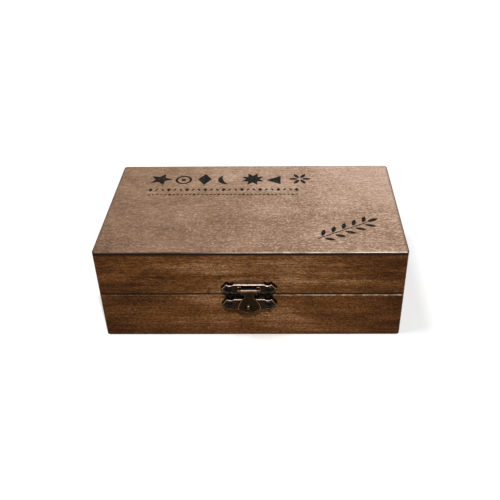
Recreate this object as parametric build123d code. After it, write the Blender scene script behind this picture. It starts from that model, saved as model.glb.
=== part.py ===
from build123d import *
import math
import os

# Small stained wooden stamp box with a lid hinged along its back edge and a snap latch at the front.
# Frame: origin at the centre of the underside, +Z up, -Y towards the front, millimetres.

# The case
box_width = 150.0
box_depth = 86.0
wall = 6.0
base_height = 26.6
lid_frame_height = 23.4
top_panel_thickness = 1.5
corner_round = 1.8
base_rim_bevel = 0.45
lid_rim_bevel = 0.2
inner_rim_bevel = 0.3
foot_bevel = 0.5
top_bevel = 0.4

# The bottom panel, let into the lower inside edge of the four base boards
bottom_panel_thickness = 3.0
rabbet_width = 3.0
panel_play = 0.1

# Wood screws with low flat heads and a cross recess
cutter_overrun = 1.0
screw_play = 0.04
recess_width = 0.45
recess_depth = 0.35
recess_length_share = 0.62

latch_screw_head_radius = 1.65
latch_screw_head_height = 0.55
latch_screw_shank_radius = 0.85
latch_screw_bite = 3.8

hinge_screw_head_radius = 1.5
hinge_screw_head_height = 0.5
hinge_screw_shank_radius = 0.75
hinge_screw_bite = 4.2

# Back hinges
hinge_end_distance = 30.0
hinge_width = 18.0
hinge_leaf_height = 8.5
hinge_sheet = 0.8
hinge_corner_round = 1.0
hinge_pin_radius = 0.6
hinge_pin_play = 0.05
hinge_pin_proud = 0.2
hinge_knuckles = 3
hinge_knuckle_gap = 0.15
hinge_knuckle_relief = 0.25
hinge_screw_spread = 10.6
hinge_screw_height = 5.2

# The latch: two pressed plates, a hinged tongue and a stud
latch_x = -1.0
latch_sheet = 0.6
plate_rise = 2.2
plate_draft = 12.0
plate_half_width = 13.9
hinge_plate_height = 6.1
hinge_plate_seam_gap = 1.6
catch_plate_height = 7.05
catch_plate_seam_gap = 1.4
plate_edge_bevel = 0.22
horn_x = 11.2
notch_x = 9.2
notch_radius = 1.8
top_notch_dip = 0.7
bottom_notch_dip = 0.4
hinge_plate_screws_x = (-10.2, 10.2)
hinge_plate_screws_up = -0.2
catch_plate_screws_x = (-10.2, 9.4)
catch_plate_screws_up = 0.3
tongue_gap = 0.4
latch_pin_radius = 0.45
latch_pin_play = 0.05
latch_pin_proud = 0.15
window_top_margin = 1.2
lug_width = 1.5
lug_play = 0.15
lug_reach_up = 1.3
lug_reach_down = 0.7

flange_half_width = 3.9
flange_drop = 3.0
neck_half_width = 2.2
neck_length = 1.8
bell_half_width = 5.6
bell_widest_drop = 0.95
bell_tail = 3.35
bell_shoulder_out_share = 0.6
bell_shoulder_down_share = 0.36
bell_corner_round = 1.2
tongue_edge_bevel = 0.2
tongue_hole_radius = 1.65
eyelet_width = 0.45
eyelet_height = 0.2

stud_drop = 1.0
stud_aside = -0.5
stud_radius = 1.15
stud_proud = 0.9
stud_dome_height = 0.5
stud_dome_steps = 3
stud_rivet_radius = 0.7
stud_rivet_play = 0.03

# Heights and places that follow from the sizes above
seam_z = base_height
lid_top_z = seam_z + lid_frame_height
front_y = -box_depth / 2
back_y = box_depth / 2

hinge_knuckle_radius = hinge_pin_radius + hinge_pin_play + hinge_sheet
hinge_pin_y = back_y + hinge_knuckle_radius

latch_knuckle_radius = latch_pin_radius + latch_pin_play + latch_sheet
latch_pin_out = plate_rise + tongue_gap + latch_knuckle_radius
hinge_plate_z = seam_z + hinge_plate_seam_gap + hinge_plate_height / 2
catch_plate_z = seam_z - catch_plate_seam_gap - catch_plate_height / 2
latch_pin_z = hinge_plate_z
stud_x = latch_x + stud_aside
stud_z = catch_plate_z - stud_drop
lug_outer_x = flange_half_width + lug_play + lug_width
tongue_back_out = plate_rise + tongue_gap
tongue_front_out = tongue_back_out + latch_sheet

# Working planes: local x runs along the box, local y is up, and the normal points out of the box.
front_plane = Plane(origin=(0, front_y, 0), x_dir=(1, 0, 0), z_dir=(0, -1, 0))
back_plane = Plane(origin=(0, back_y, 0), x_dir=(-1, 0, 0), z_dir=(0, 1, 0))
# Side view planes: local x points out of the box, local y is up.
front_side_plane = Plane(origin=(0, front_y, 0), x_dir=(0, -1, 0), z_dir=(-1, 0, 0))
back_side_plane = Plane(origin=(0, back_y, 0), x_dir=(0, 1, 0), z_dir=(1, 0, 0))

parts = {}


def group(solids):
    """Several like pieces under one name."""
    return Compound(children=list(solids))


def slab(x0, x1, y0, y1, z0, z1):
    """A box between two corners, for cutting boards from the case."""
    size = Box(x1 - x0, y1 - y0, z1 - z0)
    return Pos((x0 + x1) / 2, (y0 + y1) / 2, (z0 + z1) / 2) * size


# Boards
def wall_ring(height):
    """The four walls of one half of the case, standing on z = 0."""
    outline = RectangleRounded(box_width, box_depth, corner_round)
    hollow = Rectangle(box_width - 2 * wall, box_depth - 2 * wall)
    return extrude(outline - hollow, height)


def face_edges(ring, top, outside):
    """The edges round the outside or the inside of the ring's top or bottom face."""
    face = ring.faces().sort_by(Axis.Z)[-1 if top else 0]
    if outside:
        return face.outer_wire().edges()
    return face.inner_wires()[0].edges()


def split_boards(ring):
    """Cuts a ring into its boards: front and back run the full width, the sides fit between them."""
    box = ring.bounding_box()
    x0, x1, z0, z1 = box.min.X, box.max.X, box.min.Z, box.max.Z
    front_inside = front_y + wall
    back_inside = back_y - wall
    middle = (x0 + x1) / 2
    return {
        "front_board": ring & slab(x0, x1, front_y, front_inside, z0, z1),
        "back_board": ring & slab(x0, x1, back_inside, back_y, z0, z1),
        "left_board": ring & slab(x0, middle, front_inside, back_inside, z0, z1),
        "right_board": ring & slab(middle, x1, front_inside, back_inside, z0, z1),
    }


def base_boards():
    ring = wall_ring(base_height)
    ring = chamfer(face_edges(ring, top=True, outside=True), base_rim_bevel)
    ring = chamfer(face_edges(ring, top=True, outside=False), inner_rim_bevel)
    ring = chamfer(face_edges(ring, top=False, outside=True), foot_bevel)
    rabbet_x = box_width / 2 - wall + rabbet_width
    rabbet_y = box_depth / 2 - wall + rabbet_width
    ring -= slab(-rabbet_x, rabbet_x, -rabbet_y, rabbet_y, 0, bottom_panel_thickness)
    return split_boards(ring)


def bottom_panel():
    width = box_width - 2 * (wall - rabbet_width + panel_play)
    depth = box_depth - 2 * (wall - rabbet_width + panel_play)
    return extrude(Rectangle(width, depth), bottom_panel_thickness)


def lid_boards():
    ring = wall_ring(lid_frame_height)
    ring = chamfer(face_edges(ring, top=False, outside=True), lid_rim_bevel)
    ring = chamfer(face_edges(ring, top=False, outside=False), inner_rim_bevel)
    return split_boards(Pos(0, 0, seam_z) * ring)


def top_panel():
    panel = extrude(RectangleRounded(box_width, box_depth, corner_round), top_panel_thickness)
    panel = chamfer(face_edges(panel, top=True, outside=True), top_bevel)
    return Pos(0, 0, lid_top_z) * panel


# Screws
def turned(profile_points):
    """A solid of revolution about local z, from points given as (radius, height)."""
    outline = Polyline([*profile_points, profile_points[0]])
    return revolve(Plane.XZ * make_face(outline), Axis.Z)


def screw(head_radius, head_height, shank_radius, length):
    """A screw along -z whose head rests on z = 0, with a cross recess in the head."""
    body = turned([
        (0, head_height),
        (head_radius, head_height),
        (head_radius, 0),
        (shank_radius, 0),
        (shank_radius, -length),
        (0, -length),
    ])
    recess = Box(2 * head_radius * recess_length_share, recess_width, 2 * recess_depth)
    return body - Pos(0, 0, head_height) * (recess + Rot(0, 0, 90) * recess)


def screw_hole(shank_radius, length):
    """The room that a screw's shank takes, a little larger all round."""
    depth = length + screw_play
    return Pos(0, 0, (cutter_overrun - depth) / 2) * Cylinder(shank_radius + screw_play, depth + cutter_overrun)


latch_screw_length = plate_rise + latch_screw_bite
hinge_screw_length = hinge_sheet + hinge_screw_bite


def screws_and_holes(places, head, shank):
    """A screw at each place, and the hole that each of them needs."""
    screws = [place * screw(*head, *shank) for place in places]
    holes = [place * screw_hole(*shank) for place in places]
    return screws, holes


def latch_screws(screws_x, height):
    """The two screws of one latch plate, and the holes that they need."""
    head = (latch_screw_head_radius, latch_screw_head_height)
    shank = (latch_screw_shank_radius, latch_screw_length)
    places = [front_plane * Pos(latch_x + x, height, plate_rise) for x in screws_x]
    return screws_and_holes(places, head, shank)


def hinge_screws(hinge_x, up):
    """The two screws of one hinge leaf, and the holes that they need."""
    head = (hinge_screw_head_radius, hinge_screw_head_height)
    shank = (hinge_screw_shank_radius, hinge_screw_length)
    height = seam_z + up * hinge_screw_height
    places = [
        back_plane * Pos(-hinge_x + side * hinge_screw_spread / 2, height, hinge_sheet)
        for side in (-1, 1)
    ]
    return screws_and_holes(places, head, shank)


# Back hinges
def knuckle_spans():
    """Start and end of each knuckle along the hinge, from its left end."""
    pitch = hinge_width / hinge_knuckles
    inset = hinge_knuckle_gap / 2
    return [
        (index * pitch + (inset if index else 0),
         (index + 1) * pitch - (inset if index < hinge_knuckles - 1 else 0))
        for index in range(hinge_knuckles)
    ]


def hinge_leaf(hinge_x, up):
    """A leaf with its rolled knuckles. up is 1 for the lid's leaf and -1 for the base's."""
    left = hinge_x - hinge_width / 2
    relief = hinge_knuckle_radius + hinge_knuckle_relief
    leaf_flat_height = hinge_leaf_height - relief
    plate = RectangleRounded(hinge_width, 2 * leaf_flat_height, hinge_corner_round)
    plate &= Pos(0, leaf_flat_height / 2) * Rectangle(hinge_width, leaf_flat_height)
    plate = back_plane * Pos(-hinge_x, seam_z) * Rot(0, 0, 0 if up > 0 else 180) * Pos(0, relief) * plate
    leaf = extrude(plate, hinge_sheet)
    mine = [span for index, span in enumerate(knuckle_spans()) if (index % 2 == 1) == (up > 0)]
    for start, end in mine:
        axis_point = (hinge_knuckle_radius, seam_z)
        barrel = Pos(*axis_point) * Circle(hinge_knuckle_radius)
        strap = Pos(hinge_sheet / 2, seam_z + up * relief / 2) * Rectangle(hinge_sheet, relief)
        bore = Pos(*axis_point) * Circle(hinge_pin_radius + hinge_pin_play)
        profile = back_side_plane.offset(left + start) * (barrel + strap - bore)
        leaf += extrude(profile, end - start)
    return leaf


def pin_along_x(radius, length):
    return Rot(0, 90, 0) * Cylinder(radius, length)


def hinge_pin(hinge_x):
    pin = pin_along_x(hinge_pin_radius, hinge_width + 2 * hinge_pin_proud)
    return Pos(hinge_x, hinge_pin_y, seam_z) * pin


# Latch
def plate_outline(height):
    """A long hexagon, pointed at both ends, whose upper and lower corners are the horns."""
    half = height / 2
    right = [(plate_half_width, 0), (horn_x, half)]
    left = [(-horn_x, half), (-plate_half_width, 0), (-horn_x, -half)]
    return make_face(Polyline([*right, *left, (horn_x, -half)], close=True))


def notch_cutter():
    """A notch's round cutter: it widens with the plate's draft, and at 45 degrees along the bevel."""
    base = (Align.CENTER, Align.CENTER, Align.MIN)
    straight = plate_rise - plate_edge_bevel
    upper_radius = notch_radius + straight * math.tan(math.radians(plate_draft))
    cutter = Cone(notch_radius, upper_radius, straight, align=base)
    bevel = Cone(upper_radius, upper_radius + plate_edge_bevel, plate_edge_bevel, align=base)
    return cutter + Pos(0, 0, straight) * bevel


def pressed_plate(plate_z, height):
    """A plate pressed up from sheet: a shallow open pan with drafted walls and a notch inside each horn."""
    plate = extrude(plate_outline(height), plate_rise - plate_edge_bevel, taper=plate_draft)
    plate += extrude(plate.faces().sort_by(Axis.Z)[-1], plate_edge_bevel, taper=45)
    top_level = height / 2 + notch_radius - top_notch_dip
    bottom_level = height / 2 + notch_radius - bottom_notch_dip
    for side in (-1, 1):
        plate -= Pos(side * notch_x, top_level) * notch_cutter()
        plate -= Pos(side * notch_x, -bottom_level) * notch_cutter()
    hollow = Rectangle(2 * horn_x, height - 2 * (top_notch_dip + latch_sheet))
    plate -= extrude(hollow, plate_rise - latch_sheet, taper=plate_draft)
    return front_plane * Pos(latch_x, plate_z) * plate


def lug(side):
    """An ear rolled out of the plate's face to hold the latch pin."""
    eye = Pos(latch_pin_out, latch_pin_z) * Circle(latch_knuckle_radius)
    root = plate_rise - latch_sheet / 2
    foot = Line((root, latch_pin_z - lug_reach_down), (root, latch_pin_z + lug_reach_up))
    profile = make_hull([*eye.edges(), foot])
    profile -= Pos(latch_pin_out, latch_pin_z) * Circle(latch_pin_radius + latch_pin_play)
    start = latch_x + side * (lug_outer_x - lug_width / 2)
    return extrude(front_side_plane.offset(-start) * profile, lug_width / 2, both=True)


def hinge_plate(holes):
    """The lid's plate: a window above the tongue's knuckle with an ear at each side of it."""
    window_low = latch_pin_z
    window_high = hinge_plate_z + hinge_plate_height / 2 - window_top_margin
    window = Pos(latch_x, (window_low + window_high) / 2) * Rectangle(
        2 * (flange_half_width + lug_play), window_high - window_low
    )
    plate = pressed_plate(hinge_plate_z, hinge_plate_height)
    plate -= extrude(front_plane * window, plate_rise + cutter_overrun)
    for side in (-1, 1):
        plate += lug(side)
    for hole in holes:
        plate -= hole
    return plate


def catch_plate(holes):
    """The base's plate, with a hole for the stud's rivet."""
    rivet = front_plane * Pos(stud_x, stud_z) * Circle(stud_rivet_radius + stud_rivet_play)
    plate = pressed_plate(catch_plate_z, catch_plate_height)
    plate -= extrude(rivet, plate_rise + cutter_overrun)
    for hole in holes:
        plate -= hole
    return plate


def catch_stud():
    """The domed stud, turned with its rivet, which fills a hole in the catch plate's face."""
    shoulder = tongue_front_out + stud_proud - stud_dome_height
    turn_step = math.radians(90 / stud_dome_steps)
    dome = [
        (stud_radius * math.cos(step * turn_step), shoulder + stud_dome_height * math.sin(step * turn_step))
        for step in range(stud_dome_steps)
    ]
    stud = turned([
        (0, plate_rise - latch_sheet),
        (stud_rivet_radius, plate_rise - latch_sheet),
        (stud_rivet_radius, plate_rise),
        (stud_radius, plate_rise),
        *dome,
        (0, shoulder + stud_dome_height),
    ])
    return front_plane * Pos(stud_x, stud_z) * stud


def latch_pin():
    pin = pin_along_x(latch_pin_radius, 2 * (lug_outer_x + latch_pin_proud))
    return Pos(latch_x, front_y - latch_pin_out, latch_pin_z) * pin


def tongue_outline():
    """The tongue's flat outline: flange under the knuckle, narrow neck, and the bell that takes the stud."""
    flange_low = latch_pin_z - flange_drop
    neck_low = flange_low - neck_length
    widest = stud_z - bell_widest_drop
    lowest = stud_z - bell_tail
    shoulder_x = neck_half_width + bell_shoulder_out_share * (bell_half_width - neck_half_width)
    shoulder_z = neck_low + bell_shoulder_down_share * (widest - neck_low)
    right = [
        Line((0, latch_pin_z), (flange_half_width, latch_pin_z)),
        Line((flange_half_width, latch_pin_z), (flange_half_width, flange_low)),
        Line((flange_half_width, flange_low), (neck_half_width, flange_low)),
        Line((neck_half_width, flange_low), (neck_half_width, neck_low)),
        ThreePointArc((neck_half_width, neck_low), (shoulder_x, shoulder_z), (bell_half_width, widest)),
    ]
    left = [mirror(edge, Plane.YZ) for edge in right]
    tail = ThreePointArc((bell_half_width, widest), (0, lowest), (-bell_half_width, widest))
    face = make_face(right + left + [tail])
    corners = [v for v in face.vertices() if abs(v.Y - widest) < bell_corner_round / 10]
    return fillet(corners, bell_corner_round)


def latch_tongue():
    """The pressed tongue with a rolled knuckle, a bevelled front edge and an eyelet round its hole."""
    place = front_plane * Pos(latch_x, 0, tongue_back_out)
    sheet = extrude(place * tongue_outline(), latch_sheet)
    front_face = sheet.faces().sort_by(Axis.Y)[0]
    soft_edges = front_face.edges().filter_by(lambda edge: edge.center().Z < latch_pin_z - latch_sheet)
    sheet = chamfer(soft_edges, tongue_edge_bevel)
    barrel = Pos(latch_pin_out, latch_pin_z) * Circle(latch_knuckle_radius)
    knuckle_start = front_side_plane.offset(-(latch_x + flange_half_width))
    knuckle = extrude(knuckle_start * barrel, 2 * flange_half_width)
    bore = Pos(latch_pin_out, latch_pin_z) * Circle(latch_pin_radius + latch_pin_play)
    eyelet = Pos(stud_aside, stud_z) * Circle(tongue_hole_radius + eyelet_width)
    tongue = sheet + knuckle + extrude(place * eyelet, latch_sheet + eyelet_height)
    tongue -= extrude(knuckle_start * bore, 2 * flange_half_width)
    hole = place * Pos(stud_aside, stud_z) * Circle(tongue_hole_radius)
    return tongue - extrude(hole, latch_sheet + eyelet_height + cutter_overrun)


def build():
    for name, board in base_boards().items():
        parts["base_" + name] = board
    parts["bottom_panel"] = bottom_panel()
    for name, board in lid_boards().items():
        parts["lid_" + name] = board
    parts["lid_top_panel"] = top_panel()

    upper_screws, upper_holes = latch_screws(hinge_plate_screws_x, hinge_plate_z + hinge_plate_screws_up)
    lower_screws, lower_holes = latch_screws(catch_plate_screws_x, catch_plate_z + catch_plate_screws_up)
    parts["latch_hinge_plate"] = hinge_plate(upper_holes)
    parts["latch_catch_plate"] = catch_plate(lower_holes)
    parts["catch_stud"] = catch_stud()
    parts["latch_pin"] = latch_pin()
    parts["latch_tongue"] = latch_tongue()
    parts["hinge_plate_screws"] = group(upper_screws)
    parts["catch_plate_screws"] = group(lower_screws)
    for hole in upper_holes:
        parts["lid_front_board"] -= hole
    for hole in lower_holes:
        parts["base_front_board"] -= hole

    hinge_out = box_width / 2 - hinge_end_distance
    for side, hinge_x in (("left", -hinge_out), ("right", hinge_out)):
        parts[side + "_hinge_pin"] = hinge_pin(hinge_x)
        for half, up in (("base", -1), ("lid", 1)):
            screws, holes = hinge_screws(hinge_x, up)
            leaf = hinge_leaf(hinge_x, up)
            for hole in holes:
                leaf -= hole
                parts[half + "_back_board"] -= hole
            parts[f"{side}_hinge_{half}_leaf"] = leaf
            parts[f"{side}_hinge_{half}_screws"] = group(screws)


build()
os.makedirs("parts", exist_ok=True)
for name, shape in parts.items():
    export_step(shape, "parts/" + name + ".step")
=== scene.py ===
import bmesh
import bpy
import math
from mathutils import Matrix, Vector


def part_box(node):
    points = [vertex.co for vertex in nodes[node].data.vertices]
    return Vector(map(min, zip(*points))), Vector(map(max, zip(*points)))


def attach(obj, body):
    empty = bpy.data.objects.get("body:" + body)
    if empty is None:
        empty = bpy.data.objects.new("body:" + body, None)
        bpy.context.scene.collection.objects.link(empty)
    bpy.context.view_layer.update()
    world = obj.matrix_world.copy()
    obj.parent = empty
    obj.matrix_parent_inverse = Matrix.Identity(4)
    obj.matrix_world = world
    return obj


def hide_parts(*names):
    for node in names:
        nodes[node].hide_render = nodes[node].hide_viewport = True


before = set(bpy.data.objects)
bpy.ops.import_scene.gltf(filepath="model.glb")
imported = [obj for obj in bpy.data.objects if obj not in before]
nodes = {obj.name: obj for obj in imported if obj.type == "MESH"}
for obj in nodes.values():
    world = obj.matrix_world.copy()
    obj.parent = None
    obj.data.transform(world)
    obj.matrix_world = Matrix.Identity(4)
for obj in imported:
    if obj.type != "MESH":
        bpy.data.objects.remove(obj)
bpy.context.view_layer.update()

# Base boards: four pine boards glued into a tray, the front and back ones running the full width.
# They are wiped with brown stain and varnished satin, and are darker towards the ends and the lower edges.
# Just under the seam the outside has painted shade, and below it a pale line, partly worn to pale wood and
# partly painted highlight, most of all at the right.


def put(tree, kind, inputs=None, **settings):
    """Adds one shader node. inputs holds values, or the outputs of other nodes, by socket name or number."""
    made = tree.nodes.new("ShaderNode" + kind)
    for key, value in settings.items():
        setattr(made, key, value)
    for key, value in (inputs or {}).items():
        if isinstance(value, bpy.types.NodeSocket):
            tree.links.new(value, made.inputs[key])
        else:
            made.inputs[key].default_value = value
    return made


def maths(tree, how, first, second=0.0):
    return put(tree, "Math", {0: first, 1: second}, operation=how).outputs[0]


def times(tree, first, *others):
    for other in others:
        first = maths(tree, "MULTIPLY", first, other)
    return first


def ranged(tree, value, low, high, to_low=0.0, to_high=1.0):
    """Spreads low..high to to_low..to_high and holds it there."""
    inputs = {"Value": value, "From Min": low, "From Max": high, "To Min": to_low, "To Max": to_high}
    return put(tree, "MapRange", inputs).outputs[0]


def far_from(tree, value, middle):
    """How far a value lies from the middle one, on either side."""
    return maths(tree, "ABSOLUTE", maths(tree, "SUBTRACT", value, middle))


def band(tree, value, middle, half, soft):
    """1 within half of the middle value, and 0 from soft further out."""
    return ranged(tree, far_from(tree, value, middle), half + soft, half)


def mixed(tree, share, first, second, how="MIX"):
    made = put(tree, "Mix", {0: share, 6: first, 7: second}, data_type="RGBA", blend_type=how)
    return made.outputs[2]


def shaded(tree, colour, share):
    """The colour made darker below 1 and lighter above it."""
    grey = put(tree, "CombineColor", {0: share, 1: share, 2: share}).outputs[0]
    return mixed(tree, 1.0, colour, grey, "MULTIPLY")


def ramp(tree, value, *stops):
    """A colour for each value, from (value, colour) stops."""
    made = put(tree, "ValToRGB", {0: value})
    points = made.color_ramp.elements
    while len(points) < len(stops):
        points.new(0.5)
    for point, (where, colour) in zip(points, stops):
        point.position = where
        point.color = (*colour, 1)
    return made.outputs[0]


def streaks(tree, place, size, start, detail=3.0, roughness=0.5):
    """Cloudy noise whose patches have about this size along x, y and z, in metres."""
    scale = [1.0 / s for s in size]
    spread = put(tree, "Mapping", {"Vector": place, "Location": start, "Scale": scale})
    noise = put(tree, "TexNoise", {
        "Vector": spread.outputs[0], "Scale": 1.0, "Detail": detail, "Roughness": roughness,
    })
    return noise.outputs[0]


def along_grain(grain, length, width):
    """Patch size for a streak that runs along the board's grain."""
    return (length, width, width) if grain == "X" else (width, length, width)


def new_material(name):
    made = bpy.data.materials.new(name)
    made.use_nodes = True
    tree = made.node_tree
    return made, tree, tree.nodes["Principled BSDF"]


def own_normal(tree, normal):
    """A normal in the piece's own axes, so that the finish stays the same when the piece turns."""
    made = put(
        tree, "VectorTransform", {0: normal},
        vector_type="NORMAL", convert_from="WORLD", convert_to="OBJECT",
    )
    return put(tree, "SeparateXYZ", {0: made.outputs[0]}).outputs


def own_place(tree):
    """The place on the piece, in its own axes, whole and as x, y and z."""
    place = put(tree, "TexCoord").outputs["Object"]
    return place, *put(tree, "SeparateXYZ", {0: place}).outputs


def worn_edge(tree, rounding, flat=0.985, sharp=0.90):
    """1 beside the sharp edges of a piece and 0 on its faces, with the rounded normal."""
    soft = put(tree, "Bevel", {"Radius": rounding}, samples=6).outputs[0]
    true = put(tree, "NewGeometry").outputs["True Normal"]
    same = put(tree, "VectorMath", {0: soft, 1: true}, operation="DOT_PRODUCT").outputs["Value"]
    return ranged(tree, same, flat, sharp), soft


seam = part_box("base_front_board")[1].z
half_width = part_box("base_front_board")[1].x
front_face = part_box("base_front_board")[0].y
plate_x = (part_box("latch_catch_plate")[0].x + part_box("latch_catch_plate")[1].x) / 2
catch_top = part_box("latch_catch_plate")[1].z
plate_gap_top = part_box("latch_hinge_plate")[0].z


def stained_board(
    name, grain, start, depth=0.0, middle=0.0,
    rubbed_under=None, dark_over=None, dark_under=None,
):
    """Brown stained pine. depth darkens it, least of all at the middle. rubbed_under is the seam under which
    it gets painted shade and a pale line, partly worn and partly painted highlight. It grows darker towards
    the dark_over height, with a thin line of painted shade along it, and is darker just below the dark_under
    height."""
    made, tree, shader = new_material(name)
    place, x, y, z = own_place(tree)
    clouds = streaks(tree, place, along_grain(grain, length=0.030, width=0.0100), start, 2.0)
    bands = streaks(tree, place, along_grain(grain, length=0.045, width=0.0019), start, 3.0, 0.55)
    lines = streaks(tree, place, along_grain(grain, length=0.012, width=0.00062), start, 3.0, 0.6)
    fibres = streaks(tree, place, along_grain(grain, length=0.0018, width=0.00046), start, 3.0, 0.6)
    grit = streaks(tree, place, along_grain(grain, length=0.00060, width=0.00050), start, 1.0)
    cloud_share, band_share, line_share = 0.28, 0.30, 0.30
    cloudy = times(tree, ranged(tree, clouds, 0.32, 0.68), cloud_share)
    banded = times(tree, ranged(tree, bands, 0.30, 0.70), band_share)
    lined = times(tree, ranged(tree, lines, 0.28, 0.72), line_share)
    tone = maths(tree, "ADD", maths(tree, "ADD", cloudy, banded), lined)
    # The board is darker towards its ends than at the middle of its length.
    reach = far_from(tree, x if grain == "X" else y, middle)
    near, far = (0.018, 0.078) if grain == "X" else (0.012, 0.043)
    tone = maths(tree, "SUBTRACT", tone, ranged(tree, reach, near, far, depth - 0.21, depth + 0.20))
    # It grows darker towards the dark_over height, over a few millimetres.
    if dark_over is not None:
        darken_height, darken_depth = 0.0045, 0.15
        lower_darkening = ranged(tree, z, dark_over, dark_over + darken_height, darken_depth, 0.0)
        tone = maths(tree, "SUBTRACT", tone, lower_darkening)
    colour = ramp(
        tree, tone,
        (0.02, (0.040, 0.0125, 0.0028)),
        (0.50, (0.130, 0.0510, 0.0148)),
        (0.95, (0.335, 0.172, 0.0780)),
    )
    colour = shaded(tree, colour, ranged(tree, fibres, 0.30, 0.70, 0.36, 1.76))
    colour = shaded(tree, colour, ranged(tree, grit, 0.30, 0.70, 0.50, 1.58))
    # Short dark pores and small knots.
    pore_brown, knot_brown = (0.026, 0.0095, 0.0035, 1), (0.024, 0.0090, 0.0035, 1)
    pore_start = (start[0] + 3.1, start[1], start[2])
    pores = streaks(tree, place, along_grain(grain, length=0.0042, width=0.00042), pore_start, 2.0)
    colour = mixed(tree, ranged(tree, pores, 0.64, 0.74, 0.0, 0.6), colour, pore_brown)
    knot_start = (start[0], start[1] + 7.3, start[2])
    knots = streaks(tree, place, along_grain(grain, length=0.0085, width=0.0048), knot_start, 1.0)
    colour = mixed(tree, ranged(tree, knots, 0.71, 0.80, 0.0, 0.7), colour, knot_brown)
    # Every arris is a little darker, with the stain worn through here and there.
    arris_rounding = 0.00055
    arris_brown = (0.022, 0.0085, 0.0035, 1)
    edge, soft = worn_edge(tree, arris_rounding)
    rub_and_highlight = streaks(tree, place, (0.0035, 0.0035, 0.0035), (start[0], start[1], start[2] + 5.0), 3.0, 0.6)
    stained_arris = times(tree, edge, ranged(tree, rub_and_highlight, 0.40, 0.60, 0.80, 0.25))
    colour = mixed(tree, stained_arris, colour, arris_brown)
    skin, skin_fade = 0.0006, 0.0002
    reach_x, reach_y = half_width - skin, -front_face - skin
    outside = maths(
        tree, "MAXIMUM",
        ranged(tree, maths(tree, "ABSOLUTE", x), reach_x - skin_fade, reach_x),
        ranged(tree, maths(tree, "ABSOLUTE", y), reach_y - skin_fade, reach_y),
    )
    # Painted shade just under the seam, and below it a pale line that is partly worn wood and partly painted
    # highlight, stronger to the right.
    if rubbed_under is not None:
        groove_shade_brown, worn_and_highlight_pale = (0.012, 0.0050, 0.0022, 1), (0.56, 0.41, 0.30, 1)
        groove_shade = times(tree, outside, ranged(tree, z, rubbed_under - 0.00046, rubbed_under - 0.00032))
        colour = mixed(tree, groove_shade, colour, groove_shade_brown)
        pale_reach = ranged(tree, x, -0.03, 0.04, 0.06, 0.40)
        patches = times(tree, ranged(tree, rub_and_highlight, 0.38, 0.62, 0.45, 1.9), pale_reach)
        chip_start = (start[0] + 1.4, start[1], start[2] + 3.0)
        chips = streaks(tree, place, along_grain(grain, length=0.0022, width=0.0012), chip_start, 1.0)
        patches = maths(tree, "ADD", patches, times(tree, ranged(tree, chips, 0.58, 0.68), pale_reach, 1.6))
        line = band(tree, z, rubbed_under - 0.00080, half=0.00026, soft=0.00024)
        colour = mixed(tree, times(tree, outside, line, patches), colour, worn_and_highlight_pale)
    # Painted shade: a thin dark line just above dark_over, standing for the seam's shade on the lid and the
    # floor's at the foot of the base.
    if dark_over is not None:
        shade_line_brown = (0.014, 0.0055, 0.0024, 1)
        line_top, line_foot = dark_over + 0.00080, dark_over + 0.00030
        shade_line = times(tree, outside, ranged(tree, z, line_top, line_foot))
        colour = mixed(tree, shade_line, colour, shade_line_brown)
    if dark_under is not None:
        eaves_brown = (0.030, 0.0115, 0.0040, 1)
        eaves = ranged(tree, z, dark_under - 0.0011, dark_under - 0.0001, 0.0, 0.85)
        colour = mixed(tree, eaves, colour, eaves_brown)
    # Painted shade: the front is painted nearly black in the gap between the two latch plates.
    painted_shade_black = (0.0030, 0.0016, 0.0009, 1)
    gap_middle, gap_half = (catch_top + plate_gap_top) / 2, (plate_gap_top - catch_top) / 2
    beside = band(tree, x, plate_x, half=0.0112, soft=0.0016)
    between = band(tree, z, gap_middle, half=gap_half + 0.0002, soft=0.0009)
    on_front = ranged(tree, y, front_face + 0.0006, front_face + 0.0004)
    colour = mixed(tree, times(tree, beside, between, on_front, 0.88), colour, painted_shade_black)
    tree.links.new(colour, shader.inputs["Base Color"])
    tree.links.new(ranged(tree, lines, 0.3, 0.7, 0.62, 0.48), shader.inputs["Roughness"])
    shader.inputs["Specular IOR Level"].default_value = 0.04
    height = maths(tree, "ADD", times(tree, lines, 0.6), times(tree, fibres, 0.7))
    bump = put(tree, "Bump", {"Height": height, "Strength": 0.6, "Distance": 0.00012, "Normal": soft})
    tree.links.new(bump.outputs[0], shader.inputs["Normal"])
    return made


def finish_node(name, finish):
    """Gives a node of the frame its finish."""
    piece = nodes[name]
    if not piece.material_slots:
        piece.data.materials.append(finish)
    for place in piece.material_slots:
        place.material = finish


for side, grain, start in (
    ("front", "X", (1.7, 0.4, 2.2)),
    ("back", "X", (6.1, 2.4, 0.7)),
    ("left", "Y", (0.3, 5.2, 1.1)),
    ("right", "Y", (8.2, 1.6, 4.4)),
):
    stain = stained_board(
        "base " + side + " stain", grain, start, depth=0.10, middle=-0.002,
        rubbed_under=seam, dark_over=0.0,
    )
    finish_node("base_" + side + "_board", stain)

# Bottom panel: a sheet of thin ply glued into the rebate of the base boards.
# It has the same brown stain, wiped on thinner.
finish_node("bottom_panel", stained_board("bottom ply stain", "X", (3.3, 9.1, 5.0)))

# Lid boards: four more boards of the same pine under the top panel, cut apart from the base along the seam.
# They are darker towards the seam, with a thin line of painted shade along it, and darker just under the top
# panel.
lid_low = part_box("lid_front_board")[0].z
lid_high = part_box("lid_front_board")[1].z
for side, grain, start in (
    ("front", "X", (4.2, 3.1, 7.9)),
    ("back", "X", (2.9, 8.8, 3.6)),
    ("left", "Y", (5.5, 0.9, 6.3)),
    ("right", "Y", (7.4, 4.1, 9.7)),
):
    stain = stained_board(
        "lid " + side + " stain", grain, start, depth=0.03, middle=0.006,
        dark_over=lid_low, dark_under=lid_high,
    )
    finish_node("lid_" + side + "_board", stain)

# Top panel: thin ply glued onto the lid boards, its edge burnt nearly black where it was cut.
# The stain on it is thin and greyish, with a painted sheen that makes it paler towards the right and the
# back, and darker in soft patches on the left.
panel_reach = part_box("lid_top_panel")[1].x


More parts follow.
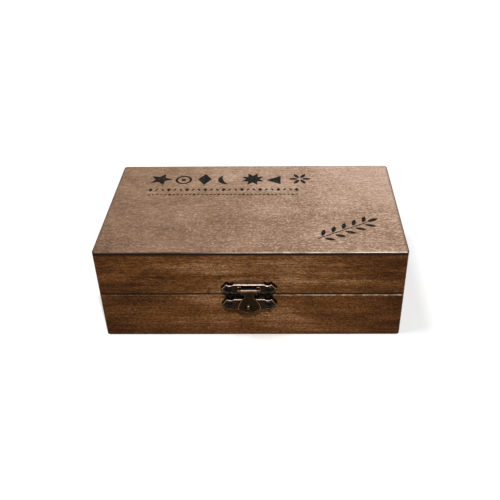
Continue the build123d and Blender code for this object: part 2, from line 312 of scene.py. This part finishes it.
def top_ply_colour(tree):
    """The panel's colour with its painted sheen, its relief, its fine lines and the place on it, as node
    outputs.
    """
    place, x, y, _ = own_place(tree)
    clouds = streaks(tree, place, (0.026, 0.021, 0.04), (0.35, 0.2, 0.0), 3.0, 0.55)
    bands = streaks(tree, place, (0.022, 0.0026, 0.01), (3.7, 1.2, 0.4), 3.0, 0.6)
    lines = streaks(tree, place, (0.0050, 0.00115, 0.003), (5.0, 2.2, 0.9), 3.0, 0.65)
    specks = streaks(tree, place, (0.00115, 0.00070, 0.002), (1.0, 8.2, 3.9), 2.0, 0.6)
    cloud_share, band_share, line_share = 0.26, 0.14, 0.40
    cloudy = times(tree, ranged(tree, clouds, 0.34, 0.66), cloud_share)
    banded = times(tree, ranged(tree, bands, 0.30, 0.70), band_share)
    lined = times(tree, ranged(tree, lines, 0.28, 0.72), line_share)
    tone = maths(tree, "ADD", maths(tree, "ADD", cloudy, banded), lined)
    # Painted sheen: the tone is raised from the left edge towards the right.
    tone = maths(tree, "ADD", tone, ranged(tree, x, -half_width, 0.060, -0.155, 0.355))
    # Painted sheen: the front is a little darker than the back, most of all at the right.
    lean = ranged(tree, x, -0.06, 0.07, 0.12, 0.22)
    tone = maths(tree, "ADD", tone, times(tree, ranged(tree, y, front_face, 0.030, -1.0, 0.6), lean))
    colour = ramp(
        tree, tone,
        (0.02, (0.100, 0.0520, 0.0275)),
        (0.50, (0.240, 0.1400, 0.0830)),
        (0.95, (0.450, 0.3120, 0.2340)),
    )
    pale_fibre, dark_fibre = (0.640, 0.490, 0.400, 1), (0.080, 0.043, 0.026, 1)
    rim_brown = (0.085, 0.0450, 0.0270, 1)
    # The pale specks grow stronger to the right, as part of the painted sheen.
    pale = times(tree, ranged(tree, specks, 0.53, 0.70, 0.0, 0.72), ranged(tree, x, -0.05, 0.05, 0.35, 1.0))
    colour = mixed(tree, pale, colour, pale_fibre)
    colour = mixed(tree, ranged(tree, specks, 0.46, 0.28, 0.0, 0.52), colour, dark_fibre)
    # The stain has run darker along the two short edges.
    rim = ranged(tree, maths(tree, "ABSOLUTE", x), panel_reach - 0.0016, panel_reach - 0.0006, 0.0, 0.50)
    colour = mixed(tree, rim, colour, rim_brown)
    height = maths(tree, "ADD", times(tree, lines, 0.7), times(tree, specks, 0.6))
    return colour, height, lines, place


made, tree, shader = new_material("top ply stain")
colour, height, lines, place = top_ply_colour(tree)
x, y, z = put(tree, "SeparateXYZ", {0: place}).outputs
facing = own_normal(tree, put(tree, "NewGeometry").outputs["True Normal"])[2]
chips = streaks(tree, place, (0.006, 0.006, 0.002), (4.0, 4.4, 1.0), 3.0, 0.6)
# The underside, inside the lid, has the boards' own brown over the same grain.
underside_tint = (0.46, 0.335, 0.190, 1)
inside = mixed(tree, 1.0, colour, underside_tint, "MULTIPLY")
colour = mixed(tree, ranged(tree, facing, -0.5, -0.8), colour, inside)
# The cut edge is burnt, and the arris above it has a pale painted highlight, broken into patches, most at the
# right of the front.
glue_brown, scorch_black = (0.030, 0.0120, 0.0050, 1), (0.0050, 0.0026, 0.0016, 1)
arris_brown, arris_highlight_pale = (0.055, 0.0310, 0.0215, 1), (0.66, 0.53, 0.46, 1)
burnt = ranged(tree, maths(tree, "ABSOLUTE", facing), 0.5, 0.3)
scorch = mixed(tree, ranged(tree, z, lid_high, lid_high + 0.0004), glue_brown, scorch_black)
colour = mixed(tree, burnt, colour, scorch)
arris = band(tree, facing, math.sqrt(0.5), half=0.05, soft=0.1)
colour = mixed(tree, arris, colour, arris_brown)
at_front = ranged(tree, y, front_face + 0.0006, front_face + 0.0003)
front_arris = times(tree, arris, at_front, ranged(tree, x, -0.035, 0.040, 0.0, 0.95))
colour = mixed(tree, times(tree, front_arris, ranged(tree, chips, 0.36, 0.58, 0.5, 1.2)), colour, arris_highlight_pale)
panel_rounding = 0.0003
soft = put(tree, "Bevel", {"Radius": panel_rounding}, samples=6).outputs[0]
tree.links.new(colour, shader.inputs["Base Color"])
# The burnt edge and the arris are matt.
matt = maths(tree, "MAXIMUM", burnt, arris)
satin = ranged(tree, lines, 0.3, 0.7, 0.66, 0.52)
rough = put(tree, "Mix", {0: matt, 2: satin, 3: 0.96}, data_type="FLOAT").outputs[0]
tree.links.new(rough, shader.inputs["Roughness"])
shader.inputs["Specular IOR Level"].default_value = 0.15
bump = put(tree, "Bump", {"Height": height, "Strength": 0.5, "Distance": 0.00012, "Normal": soft})
tree.links.new(bump.outputs[0], shader.inputs["Normal"])
finish_node("lid_top_panel", made)

# Print on the lid: dark ink stamped on the ply, a row of plain shapes with a line of small leaves and a line
# of dashes in front of it, and a sprig near the front right corner. The ink is thin and worn, so the ply
# shows through it here and there.
lid_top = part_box("lid_top_panel")[1].z
ink_sunk, ink_proud = 0.00004, 0.00002


def ink_round(shape, middle, radius, points=28, squeeze=(1, 1), turn=0.0):
    """A flat printed polygon with its corners on a circle, or on an oval where it is squeezed."""
    corners = bmesh.ops.create_circle(shape, cap_ends=True, segments=points, radius=radius)["verts"]
    bmesh.ops.scale(shape, vec=(*squeeze, 1), verts=corners)
    bmesh.ops.rotate(shape, matrix=Matrix.Rotation(math.radians(turn), 3, "Z"), verts=corners)
    bmesh.ops.translate(shape, vec=(*middle, 0), verts=corners)
    return corners


def ink_ring(shape, middle, radius, width, points=40):
    """A flat printed ring."""
    edge = bmesh.ops.create_circle(shape, cap_ends=False, segments=points, radius=radius)["verts"]
    loop = list({e for v in edge for e in v.link_edges})
    wide = bmesh.ops.extrude_edge_only(shape, edges=loop)["geom"]
    inner = [v for v in wide if isinstance(v, bmesh.types.BMVert)]
    bmesh.ops.scale(shape, vec=((radius - width) / radius,) * 2 + (1,), verts=inner)
    bmesh.ops.translate(shape, vec=(*middle, 0), verts=edge + inner)
    return edge + inner


def ink_star(shape, middle, radius, rays, inset, turn=0.0):
    """A flat printed star: every second corner of a polygon drawn in."""
    corners = ink_round(shape, (0, 0), radius, 2 * rays, turn=turn)
    around = sorted(corners, key=lambda v: math.atan2(v.co.y, v.co.x))
    bmesh.ops.scale(shape, vec=(inset, inset, 1), verts=around[1::2])
    bmesh.ops.translate(shape, vec=(*middle, 0), verts=corners)


def ink_leaf(shape, middle, length, width, turn):
    """A flat printed leaf: an oval pinched to a point at both ends."""
    corners = ink_round(shape, (0, 0), length / 2, 24, (1, width / length))
    for v in corners:
        bmesh.ops.scale(shape, vec=(1, 1 - (2 * abs(v.co.x) / length) ** 3, 1), verts=[v])
    bmesh.ops.rotate(shape, matrix=Matrix.Rotation(math.radians(turn), 3, "Z"), verts=corners)
    bmesh.ops.translate(shape, vec=(*middle, 0), verts=corners)


def ink_bar(shape, middle, length, width, turn=0.0):
    """A flat printed dash with square ends."""
    corners = bmesh.ops.create_grid(shape, x_segments=1, y_segments=1, size=0.5)["verts"]
    bmesh.ops.scale(shape, vec=(length, width, 1), verts=corners)
    bmesh.ops.rotate(shape, matrix=Matrix.Rotation(math.radians(turn), 3, "Z"), verts=corners)
    bmesh.ops.translate(shape, vec=(*middle, 0), verts=corners)


def ink_moon(shape, middle, radius, turn):
    """A flat printed crescent: a round whose right half is folded back inside the left one."""
    corners = ink_round(shape, (0, 0), radius, 32)
    bmesh.ops.scale(shape, vec=(-0.45, 0.999, 1), verts=[v for v in corners if v.co.x > radius * 0.01])
    bmesh.ops.rotate(shape, matrix=Matrix.Rotation(math.radians(turn), 3, "Z"), verts=corners)
    bmesh.ops.translate(shape, vec=(*middle, 0), verts=corners)


print_row = bmesh.new()
row_y = 0.0275
lozenge = (0.62, 1)
ink_star(print_row, (-0.0520, row_y), radius=0.0066, rays=5, inset=0.46, turn=90)
ink_ring(print_row, (-0.0392, row_y - 0.0006), radius=0.0046, width=0.0013)
ink_round(print_row, (-0.0392, row_y - 0.0006), radius=0.0013, points=16)
ink_round(print_row, (-0.0275, row_y), radius=0.0062, points=4, squeeze=lozenge)
ink_moon(print_row, (-0.0150, row_y - 0.0004), radius=0.0052, turn=20)
ink_star(print_row, (-0.0010, row_y), radius=0.0070, rays=8, inset=0.52)
ink_round(print_row, (0.0118, row_y - 0.0012), radius=0.0054, points=3, turn=90)
flower_x, petal_out = 0.0250, 0.0036
for turn in range(0, 360, 60):
    lean = Vector((math.cos(math.radians(turn)), math.sin(math.radians(turn))))
    petal = (flower_x + petal_out * lean.x, row_y + petal_out * lean.y)
    ink_leaf(print_row, petal, length=0.0056, width=0.0021, turn=turn)

print_rules = bmesh.new()
rules_left, leaf_line_y, dash_line_y = -0.0560, 0.0160, 0.0108
leaf_step, dash_step = 0.0033, 0.0022
for index in range(25):
    middle = (rules_left + leaf_step * index, leaf_line_y)
    if index % 3 == 0:
        ink_round(print_rules, middle, radius=0.0019, points=4, squeeze=lozenge)
    else:
        ink_leaf(print_rules, middle, length=0.0030, width=0.0011, turn=62 if index % 3 == 1 else 118)
for index in range(37):
    middle = (rules_left + dash_step * index, dash_line_y)
    if index % 6 == 5:
        ink_round(print_rules, middle, radius=0.00085, points=12)
    else:
        ink_bar(print_rules, middle, length=0.0014, width=0.00085)

print_sprig = bmesh.new()
stem_turn = 30
for index in range(5):
    along = Vector((0.0350 + 0.0052 * index, -0.0300 + 0.0030 * index))
    ink_leaf(print_sprig, (along.x + 0.0004, along.y + 0.0036), length=0.0062, width=0.0022, turn=78)
    ink_leaf(print_sprig, (along.x + 0.0034, along.y - 0.0020), length=0.0062, width=0.0022, turn=-18)
ink_bar(print_sprig, (0.0450, -0.0243), length=0.0290, width=0.00060, turn=stem_turn)
ink_leaf(print_sprig, (0.0606, -0.0150), length=0.0066, width=0.0026, turn=stem_turn)

made, tree, shader = new_material("lid ink")
colour, height, lines, place = top_ply_colour(tree)
ink_black = (0.0050, 0.0072, 0.0062, 1)
worn = streaks(tree, place, (0.0016, 0.00085, 0.002), (7.0, 3.3, 0.4), 3.0, 0.7)
colour = mixed(tree, ranged(tree, worn, 0.58, 0.72, 0.99, 0.50), colour, ink_black)
tree.links.new(colour, shader.inputs["Base Color"])
shader.inputs["Roughness"].default_value = 0.75
shader.inputs["Specular IOR Level"].default_value = 0.05
for name, shape in (
    ("lid_print_row", print_row),
    ("lid_print_rules", print_rules),
    ("lid_print_sprig", print_sprig),
):
    bmesh.ops.recalc_face_normals(shape, faces=shape.faces)
    flat = shape.faces[:]
    top = bmesh.ops.extrude_face_region(shape, geom=flat, use_keep_orig=True)["geom"]
    raised = [v for v in top if isinstance(v, bmesh.types.BMVert)]
    bmesh.ops.translate(shape, vec=(0, 0, ink_sunk + ink_proud), verts=raised)
    bmesh.ops.translate(shape, vec=(0, 0, lid_top - ink_sunk), verts=shape.verts)
    bmesh.ops.recalc_face_normals(shape, faces=shape.faces)
    data = bpy.data.meshes.new(name)
    shape.to_mesh(data)
    shape.free()
    data.materials.append(made)
    piece = bpy.data.objects.new(name, data)
    bpy.context.scene.collection.objects.link(piece)
    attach(piece, "lid")

# Latch plates: two plates pressed from thin sheet, each an open pan with scooped notches and pointed ends.
# The sheet is plated dark antique bronze, rubbed through to bright copper along the pressed edges.
# Their up-facing walls and rolled ears carry painted highlights, and their notches and screw rings painted
# shade.


def antique_bronze(
    name, rounding, bright, painted_shade_mask=None, pale=None, pressed=False,
    copper=(0.62, 0.47, 0.365), pale_tone=(0.56, 0.50, 0.46), shade=1.0,
):
    """Dark antique plating over copper. bright takes (tree, x, y, z, edge) and returns how much copper each
    spot shows, from worn edges and from painted highlights. The mask that follows bright, and pale, take
    (tree, x, y, z) for painted shade and for painted pale highlights. shade darkens the plating.
    On a pressed piece the slope between its front face and its walls counts as an edge too."""
    made, tree, shader = new_material(name)
    place, x, y, z = own_place(tree)
    mottle = streaks(tree, place, (0.0022, 0.0022, 0.0022), (2.0, 1.0, 4.0), 4.0, 0.6)
    grit = streaks(tree, place, (0.00035, 0.00035, 0.00035), (1.0, 6.0, 2.0), 3.0, 0.6)
    plating, browner = (0.0085, 0.0049, 0.0022, 1), (0.0260, 0.0132, 0.0054, 1)
    fleck, painted_shade_black = (0.110, 0.0580, 0.0300, 1), (0.0050, 0.0040, 0.0035, 1)
    colour = mixed(tree, ranged(tree, mottle, 0.35, 0.66), plating, browner)
    colour = mixed(tree, ranged(tree, grit, 0.58, 0.72, 0.0, 0.18), colour, fleck)
    colour = shaded(tree, colour, shade)
    edge, soft = worn_edge(tree, rounding, flat=0.97, sharp=0.86)
    if pressed:
        slope = maths(tree, "ABSOLUTE", own_normal(tree, soft)[1])
        edge = maths(tree, "MAXIMUM", edge, band(tree, slope, 0.70, half=0.14, soft=0.16))
    # Copper shows on worn edges and wherever bright paints a highlight.
    rub_and_highlight = times(tree, bright(tree, x, y, z, edge), ranged(tree, mottle, 0.32, 0.54, 0.45, 1.0))
    colour = mixed(tree, rub_and_highlight, colour, (*copper, 1))
    # Painted pale highlights, where pale puts them.
    if pale is not None:
        colour = mixed(tree, pale(tree, x, y, z), colour, (*pale_tone, 1))
    # Painted shade, nearly black, where the shade mask puts it.
    if painted_shade_mask is not None:
        colour = mixed(tree, painted_shade_mask(tree, x, y, z), colour, painted_shade_black)
    tree.links.new(colour, shader.inputs["Base Color"])
    shader.inputs["Metallic"].default_value = 1.0
    tree.links.new(ranged(tree, grit, 0.3, 0.7, 0.40, 0.54), shader.inputs["Roughness"])
    bump = put(tree, "Bump", {"Height": grit, "Strength": 0.2, "Distance": 0.00003, "Normal": soft})
    tree.links.new(bump.outputs[0], shader.inputs["Normal"])
    return made


stud_x = (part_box("catch_stud")[0].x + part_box("catch_stud")[1].x) / 2
stud_z = (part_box("catch_stud")[0].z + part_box("catch_stud")[1].z) / 2
plate_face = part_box("latch_catch_plate")[0].y
pin_z = (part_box("latch_pin")[0].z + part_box("latch_pin")[1].z) / 2


def screw_places(node):
    """The middles of the two screws that a node holds, as (x, z), and the radius of their heads."""
    low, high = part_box(node)
    radius, middle_z = (high.z - low.z) / 2, (low.z + high.z) / 2
    return [(low.x + radius, middle_z), (high.x - radius, middle_z)], radius


def away_from(tree, x, z, middle):
    """How far a spot lies from a middle (x, z), seen from the front."""
    spot = put(tree, "CombineXYZ", {0: x, 2: z}).outputs[0]
    made = put(tree, "VectorMath", {0: spot, 1: (middle[0], 0, middle[1])}, operation="DISTANCE")
    return made.outputs["Value"]


def stands_out(tree, y, out):
    """1 where a spot stands out before the plates' front face by more than this, and 0 where by less."""
    return ranged(tree, y, plate_face - out, plate_face - out - 0.0004)


def plate_bright(tree, x, y, z, edge):
    """Copper on the worn edges of the faces, a faint painted highlight on the walls that face up, and a
    painted highlight on the rolled ears.
    """
    on_face = ranged(tree, y, plate_face - 0.00050, plate_face - 0.00015)
    ends = ranged(tree, far_from(tree, x, plate_x), 0.0108, 0.0118, 1.0, 0.42)
    upper_rub = 0.92
    lower_rub = ranged(tree, x, plate_x, plate_x + 0.006, 0.46, 0.62)
    on_upper = ranged(tree, z, catch_top + 0.0002, catch_top + 0.0008)
    on_lower = maths(tree, "SUBTRACT", 1.0, on_upper)
    share = maths(tree, "ADD", times(tree, on_lower, lower_rub), times(tree, on_upper, upper_rub))
    faces = times(tree, edge, on_face, ends, share)
    # Painted highlight: a faint copper sheen on the walls that face up, as if lit from above.
    up = own_normal(tree, put(tree, "NewGeometry").outputs["True Normal"])[2]
    behind = ranged(tree, y, plate_face + 0.0002, plate_face + 0.0004)
    walls = times(tree, ranged(tree, up, 0.75, 0.95), behind, 0.10)
    # Painted highlight: a copper band across the front of the rolled ears.
    spot = band(tree, z, pin_z + 0.00065, half=0.00025, soft=0.00030)
    ears = times(tree, spot, stands_out(tree, y, 0.0015), 0.055)
    return maths(tree, "ADD", maths(tree, "ADD", faces, walls), ears)


def plate_painted_shade(tree, x, y, z):
    """Painted shade, near black, on the walls in the scooped notches and in a ring round each screw."""
    scoops = band(tree, far_from(tree, x, plate_x), 0.0094, half=0.0019, soft=0.0004)
    dark = times(tree, scoops, ranged(tree, y, plate_face + 0.00020, plate_face + 0.00035), 0.95)
    for node in ("hinge_plate_screws", "catch_plate_screws"):
        places, radius = screw_places(node)
        for middle in places:
            away = away_from(tree, x, z, middle)
            ring = ranged(tree, away, radius + 0.00055, radius + 0.00010, 0.0, 0.9)
            dark = maths(tree, "MAXIMUM", dark, ring)
    return dark


plate_finish = antique_bronze("plate bronze", 0.00022, plate_bright, plate_painted_shade, pressed=True)
finish_node("latch_hinge_plate", plate_finish)
finish_node("latch_catch_plate", plate_finish)

# Latch tongue: a pressed bell-shaped tongue, rolled round its pin at the top, with a round hole for the stud.
# Its roll carries a painted highlight, pale on the crest and copper below it, and its rim has a thin bright
# copper line round the lower part.
# Painted shade darkens its hole and the underside of the roll.


def tongue_bright(tree, x, y, z, edge):
    """Copper on the worn rim below the roll, fainter beside the eyelet, and a painted highlight in a band on
    the front of the roll.
    """
    rim = times(tree, edge, ranged(tree, z, stud_z + 0.0042, stud_z - 0.0030, 0.22, 0.75))
    away = away_from(tree, x, z, (stud_x, stud_z))
    rim = times(tree, rim, ranged(tree, away, 0.0023, 0.0027, 0.25, 1.0))
    rim = times(tree, rim, ranged(tree, z, pin_z - 0.0012, pin_z - 0.0009, 1.0, 0.0))
    # Painted highlight: a copper band across the front of the roll.
    spot = band(tree, z, pin_z + 0.00042, half=0.00026, soft=0.00030)
    return maths(tree, "ADD", rim, times(tree, spot, stands_out(tree, y, 0.0015), 0.26))


def tongue_crest_highlight(tree, x, y, z):
    """Painted highlight: a thin pale line along the crest of the roll."""
    crest = band(tree, z, pin_z + 0.00092, half=0.00008, soft=0.00008)
    return times(tree, crest, stands_out(tree, y, 0.0008), 0.22)


def tongue_painted_shade(tree, x, y, z):
    """Painted shade, near black, in the hole, on the eyelet round it and under the roll."""
    hole = ranged(tree, away_from(tree, x, z, (stud_x, stud_z)), 0.0020, 0.0017, 0.0, 0.9)
    under = band(tree, z, pin_z - 0.0005, half=0.00045, soft=0.00035)
    return maths(tree, "MAXIMUM", hole, times(tree, under, stands_out(tree, y, 0.0008), 0.85))


finish_node("latch_tongue", antique_bronze(
    "tongue bronze", 0.00018, tongue_bright, tongue_painted_shade, tongue_crest_highlight, pressed=True,
    copper=(0.52, 0.230, 0.095), shade=0.7,
))

# Catch stud: a small domed rivet head that the tongue's hole snaps over, turned in one piece with its rivet.
# It is dark, with a warm painted reflection on its lower half and a pale painted highlight along the top of
# its rim.
stud_low, stud_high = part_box("catch_stud")
stud = bmesh.new()
crown = stud_low.y
dome = (
    (0.0, 0.0), (0.00032, 0.00002), (0.00060, 0.00010), (0.00084, 0.00024),
    (0.00103, 0.00044), (0.00113, 0.00070), (0.00115, 0.00100),
)
head_radius, rivet_radius, head_back = 0.00115, 0.00070, stud_high.y - 0.0006
profile = [(out, crown + down) for out, down in dome]
profile += [(head_radius, head_back), (rivet_radius, head_back)]
profile += [(rivet_radius, stud_high.y), (0.0, stud_high.y)]
line = [stud.verts.new((stud_x + out, deep, stud_z)) for out, deep in profile]
edges = [stud.edges.new(pair) for pair in zip(line, line[1:])]
bmesh.ops.spin(
    stud, geom=line + edges, cent=(stud_x, 0, stud_z), axis=(0, 1, 0),
    angle=math.tau, steps=40, use_merge=True,
)
bmesh.ops.remove_doubles(stud, verts=stud.verts, dist=1e-7)
bmesh.ops.recalc_face_normals(stud, faces=stud.faces)
for face in stud.faces:
    face.smooth = face.calc_center_median().y < crown + 0.0008
data = bpy.data.meshes.new("catch_stud_turned")
stud.to_mesh(data)
stud.free()


# Painted reflection: the lower half of the dome is given a warm copper tone.
def stud_painted_reflection(tree, x, y, z, edge):
    return ranged(tree, z, stud_z + 0.0002, stud_z - 0.0003, 0.01, 0.15)


# Painted highlight: a pale band along the top of the dome's rim.
def stud_painted_highlight(tree, x, y, z):
    return times(tree, band(tree, z, stud_z + 0.00112, half=0.00012, soft=0.00022), 0.50)


data.materials.append(antique_bronze(
    "stud bronze", 0.0001, stud_painted_reflection, None, stud_painted_highlight,
    copper=(0.60, 0.36, 0.13), pale_tone=(0.62, 0.47, 0.35), shade=0.35,
))
piece = bpy.data.objects.new("catch_stud_turned", data)
bpy.context.scene.collection.objects.link(piece)
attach(piece, "base")
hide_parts("catch_stud")

# Latch pin and screws: a plain dark pin, and wood screws with low domed heads and a cross recess.
# The screw heads are blackened, with a painted highlight on the upper side of the rim and painted shade in
# the cross recess.


def screw_wear_and_highlight(tree, x, y, z, edge):
    """Faint copper on every worn edge, and a painted highlight on the upper side of a domed rim, stronger to
    the right.
    """
    _, slope, up = own_normal(tree, put(tree, "NewGeometry").outputs["True Normal"])
    rim = band(tree, maths(tree, "ABSOLUTE", slope), 0.70, half=0.12, soft=0.06)
    rim = times(tree, rim, ranged(tree, up, 0.20, 0.62))
    rim = times(tree, rim, ranged(tree, x, plate_x - 0.006, plate_x + 0.006, 0.03, 0.10))
    return maths(tree, "MAXIMUM", rim, times(tree, edge, 0.10))


dark_metal = antique_bronze("pin and screw metal", 0.00012, screw_wear_and_highlight, copper=(0.46, 0.34, 0.27), shade=0.2)
finish_node("latch_pin", dark_metal)
# Painted shade for the floor of each cross recess: near black.
painted_shade_finish, tree, shader = new_material("recess grime")
grains = streaks(tree, own_place(tree)[0], (0.0003, 0.0003, 0.0003), (0.0, 0.0, 0.0), 2.0)
recess_shade_deep, recess_shade_mottle = (0.0012, 0.0012, 0.0013, 1), (0.0045, 0.0040, 0.0036, 1)
tree.links.new(mixed(tree, grains, recess_shade_deep, recess_shade_mottle), shader.inputs["Base Color"])
shader.inputs["Roughness"].default_value = 0.8
shader.inputs["Specular IOR Level"].default_value = 0.03


def driven_screws(name, node, body, turns, crown_height, arm, slit, deep):
    """Both screws of one node, as one piece in its place, facing the way the node's heads face.
    crown_height is how high a head is. arm and slit are half the length and half the width of its cross,
    and deep is how deep the cross is cut."""
    low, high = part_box(node)
    places, radius = screw_places(node)
    out = -1 if low.y < 0 else 1
    head = low.y if out < 0 else high.y
    length = high.y - low.y
    shank, point = 0.5 * radius, 0.0012
    dome = ((0.0, 0.0), (0.45, 0.10), (0.74, 0.34), (0.93, 0.74), (1.0, 1.0))
    profile = [(share * radius, -down * crown_height) for share, down in dome]
    profile += [(shank, -crown_height), (shank, point - length), (0.0, -length)]
    both = bmesh.new()
    for (at_x, at_z), turn in zip(places, turns):
        one = bmesh.new()
        line = [one.verts.new((across, 0, along)) for across, along in profile]
        edges = [one.edges.new(pair) for pair in zip(line, line[1:])]
        bmesh.ops.spin(
            one, geom=line + edges, cent=(0, 0, 0), axis=(0, 0, 1),
            angle=math.tau, steps=32, use_merge=True,
        )
        bmesh.ops.remove_doubles(one, verts=one.verts, dist=1e-7)
        for axis in ((1, 0, 0), (0, 1, 0)):
            for reach in (slit, -slit, arm, -arm):
                cut = [*one.verts, *one.edges, *one.faces]
                spot = [reach * a for a in axis]
                bmesh.ops.bisect_plane(one, geom=cut, dist=1e-7, plane_co=spot, plane_no=axis)
        bmesh.ops.recalc_face_normals(one, faces=one.faces)
        cross = []
        for face in one.faces:
            middle = face.calc_center_median()
            near, far = sorted((abs(middle.x), abs(middle.y)))
            face.smooth = middle.z > -crown_height and face.normal.z > 0.1
            if near < slit and far < arm and face.normal.z > 0.3:
                cross.append(face)
        sunk = bmesh.ops.extrude_face_region(one, geom=cross)["geom"]
        bmesh.ops.delete(one, geom=[f for f in cross if f.is_valid], context="FACES_ONLY")
        floor_points = [v for v in sunk if isinstance(v, bmesh.types.BMVert)]
        bmesh.ops.scale(one, vec=(0.8, 0.8, 0.0), verts=floor_points)
        bmesh.ops.translate(one, vec=(0, 0, -deep), verts=floor_points)
        # The floor of the cross takes the near-black painted shade.
        for v in floor_points:
            for face in v.link_faces:
                face.material_index = 1
                face.smooth = False
        bmesh.ops.rotate(one, matrix=Matrix.Rotation(math.radians(turn), 3, "Z"), verts=one.verts)
        bmesh.ops.rotate(one, matrix=Matrix.Rotation(math.radians(-90 * out), 3, "X"), verts=one.verts)
        bmesh.ops.translate(one, vec=(at_x, head, at_z), verts=one.verts)
        bmesh.ops.recalc_face_normals(one, faces=one.faces)
        single = bpy.data.meshes.new("single")
        one.to_mesh(single)
        one.free()
        both.from_mesh(single)
        bpy.data.meshes.remove(single)
    data = bpy.data.meshes.new(name)
    both.to_mesh(data)
    both.free()
    data.materials.append(dark_metal)
    data.materials.append(painted_shade_finish)
    piece = bpy.data.objects.new(name, data)
    bpy.context.scene.collection.objects.link(piece)
    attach(piece, body)
    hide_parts(node)


for plate, body, turns in (("hinge_plate", "lid", (38, 12)), ("catch_plate", "base", (8, 40))):
    driven_screws(
        plate + "_cross_screws", plate + "_screws", body, turns,
        crown_height=0.00055, arm=0.00115, slit=0.00027, deep=0.0006,
    )

# Back hinges: two small butt hinges in the same bronze, each with two leaves rolled round a pin.
# Every leaf is held by two of the smaller screws.


def leaf_bright(tree, x, y, z, edge):
    return times(tree, edge, 0.8)


leaf_finish = antique_bronze("hinge leaf bronze", 0.00025, leaf_bright)
turns = iter((12, 70, 33, 5, 51, 20, 64, 41))
for side in ("left", "right"):
    finish_node(side + "_hinge_pin", dark_metal)
    for body in ("base", "lid"):
        leaf = side + "_hinge_" + body
        finish_node(leaf + "_leaf", leaf_finish)
        driven_screws(
            leaf + "_cross_screws", leaf + "_screws", body, (next(turns), next(turns)),
            crown_height=0.0005, arm=0.00092, slit=0.00022, deep=0.0005,
        )

# Floor and light: a white sweep under soft studio lamps. Near the box it is only as light as the lamps make
# it, so that the box's own shadow shows on it, and it glows white further out.


def seen_itself(tree):
    """1 for rays that show a thing, straight, mirrored or through another, and 0 for its light on others."""
    rays = put(tree, "LightPath")
    seen = maths(tree, "MAXIMUM", rays.outputs["Is Camera Ray"], rays.outputs["Is Glossy Ray"])
    return maths(tree, "MAXIMUM", seen, rays.outputs["Is Transmission Ray"])


floor_mesh = bmesh.new()
bmesh.ops.create_grid(floor_mesh, x_segments=1, y_segments=1, size=4.0)
floor_data = bpy.data.meshes.new("floor")
floor_mesh.to_mesh(floor_data)
floor_mesh.free()
floor = bpy.data.objects.new("floor", floor_data)
bpy.context.scene.collection.objects.link(floor)
made, tree, shader = new_material("white floor")
seen = seen_itself(tree)
lit_grey, seen_grey = (0.34, 0.34, 0.34, 1), (0.88, 0.88, 0.88, 1)
tree.links.new(mixed(tree, seen, lit_grey, seen_grey), shader.inputs["Base Color"])
shader.inputs["Roughness"].default_value = 0.9
shader.inputs["Specular IOR Level"].default_value = 0.1
shader.inputs["Emission Color"].default_value = (1, 1, 1, 1)
away = put(tree, "VectorMath", {0: own_place(tree)[0]}, operation="LENGTH").outputs["Value"]
glow_from, glow_full, glow_strength = 0.12, 0.24, 0.55
glow = ranged(tree, away, glow_from, glow_full, 0.0, glow_strength)
tree.links.new(times(tree, seen, glow), shader.inputs["Emission Strength"])
floor_data.materials.append(made)

world = bpy.data.worlds.new("studio")
bpy.context.scene.world = world
world.use_nodes = True
tree = world.node_tree
sky_fill, sky_seen = 0.15, 1.0
back = tree.nodes["Background"]
back.inputs["Color"].default_value = (1, 1, 1, 1)
tree.links.new(ranged(tree, seen_itself(tree), 0.0, 1.0, sky_fill, sky_seen), back.inputs["Strength"])


def soft_lamp(name, place, target, size, power):
    """A rectangular lamp that faces the target."""
    lamp = bpy.data.lights.new(name, "AREA")
    lamp.shape = "RECTANGLE"
    lamp.size, lamp.size_y = size
    lamp.energy = power
    holder = bpy.data.objects.new(name, lamp)
    holder.location = place
    holder.rotation_euler = (Vector(target) - Vector(place)).to_track_quat("-Z", "Y").to_euler()
    bpy.context.scene.collection.objects.link(holder)


box_middle = (0, 0, 0.03)
soft_lamp("key lamp", (0.20, -0.80, 1.43), box_middle, size=(0.10, 0.10), power=25.0)
soft_lamp("left lamp", (-0.20, -0.06, 0.80), box_middle, size=(0.16, 0.14), power=2.25)

# Camera: the photograph's own view, fitted to the eight corners of the box that it shows.
# Its place, turn, lens and shift all come from that fit.
camera_data = bpy.data.cameras.new("camera")
camera_data.sensor_width = 36.0
camera_data.lens = 48.89
camera_data.shift_x = -0.0444
camera_data.shift_y = 0.0005
camera_data.clip_start = 0.01
camera_data.clip_end = 20.0
camera = bpy.data.objects.new("camera", camera_data)
camera_right = Vector((0.999896, 0.009854, -0.010577))
camera_up = Vector((0.002980, 0.575452, 0.817830))
camera_back = camera_right.cross(camera_up)
turn = Matrix((camera_right, camera_up, camera_back)).transposed()
camera.matrix_world = Matrix.Translation((0.01502, -0.30319, 0.23586)) @ turn.to_4x4()
bpy.context.scene.collection.objects.link(camera)
bpy.context.scene.camera = camera
bpy.context.scene.view_settings.view_transform = "Standard"

bpy.context.view_layer.update()
